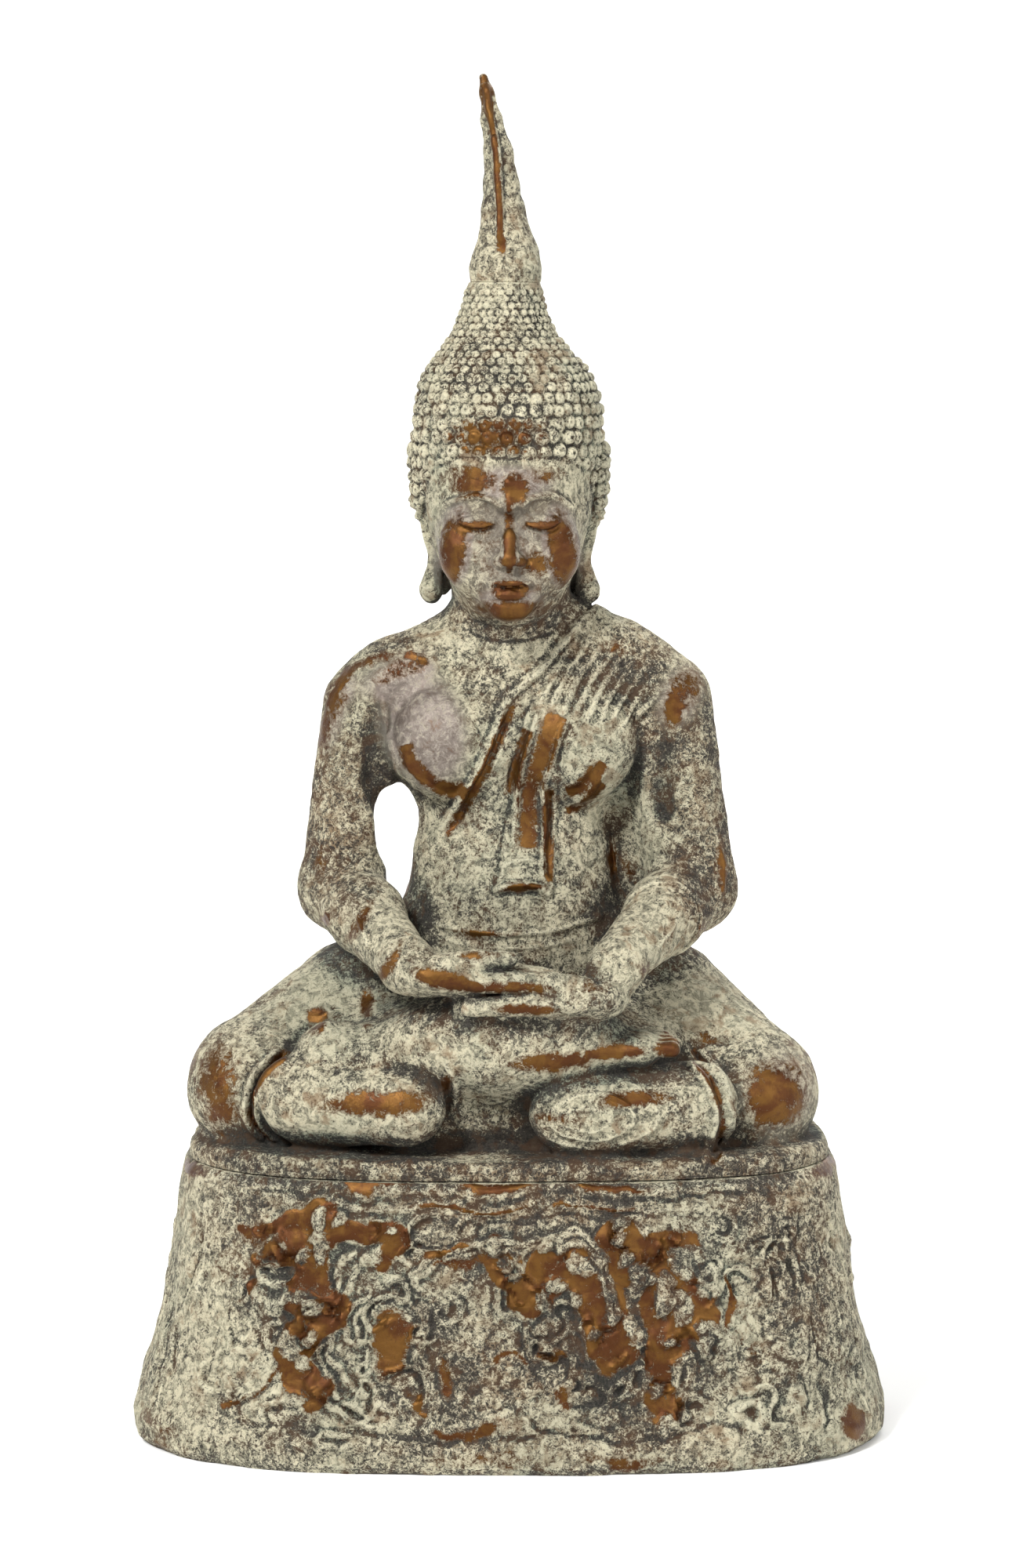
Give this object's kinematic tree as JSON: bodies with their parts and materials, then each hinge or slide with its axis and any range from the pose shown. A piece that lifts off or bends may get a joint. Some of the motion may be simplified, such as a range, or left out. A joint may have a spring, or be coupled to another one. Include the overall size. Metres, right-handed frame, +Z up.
{
  "type": "seated buddha statue",
  "caption": "Seated bronze Buddha in meditation on a hollow oval relief pedestal, with a lift-off flame finial; green patina rubbed to brown on the high spots.",
  "frame": {"origin": "on the floor, under the middle of the pedestal", "axes": "+Z up, the figure looks along -Y, +X towards its left hand side"},
  "size_m": [0.1584, 0.095, 0.28],
  "materials": {
    "patinated_bronze": "dull green-cream patina, rubbed to glossy brown on high spots",
    "casting_clay": "dry, crumbly, unglazed",
    "wrought_iron": "forged, rusty",
    "rivet_bronze": "hammered, dull"
  },
  "bodies": {
    "statue": {"pedestal_shell": "patinated_bronze", "lap_casting": "patinated_bronze", "torso_casting": "patinated_bronze", "right_arm_casting": "patinated_bronze", "left_arm_casting": "patinated_bronze", "head_casting": "patinated_bronze", "torso_clay_core": "casting_clay", "head_clay_core": "casting_clay", "armature_rod": "wrought_iron", "core_pin_1": "wrought_iron", "core_pin_2": "wrought_iron", "core_pin_3": "wrought_iron", "core_pin_4": "wrought_iron", "core_pin_5": "wrought_iron", "core_pin_6": "wrought_iron", "base_rivet_1": "rivet_bronze", "base_rivet_2": "rivet_bronze", "base_rivet_3": "rivet_bronze", "base_rivet_4": "rivet_bronze"},
    "finial": {"flame_finial": "patinated_bronze"}
  },
  "joints": [
    {"name": "finial_lift", "type": "slide", "parent": "statue", "child": "finial", "axis": [0, 0, 1], "range_m": [0, 0.015]}
  ]
}
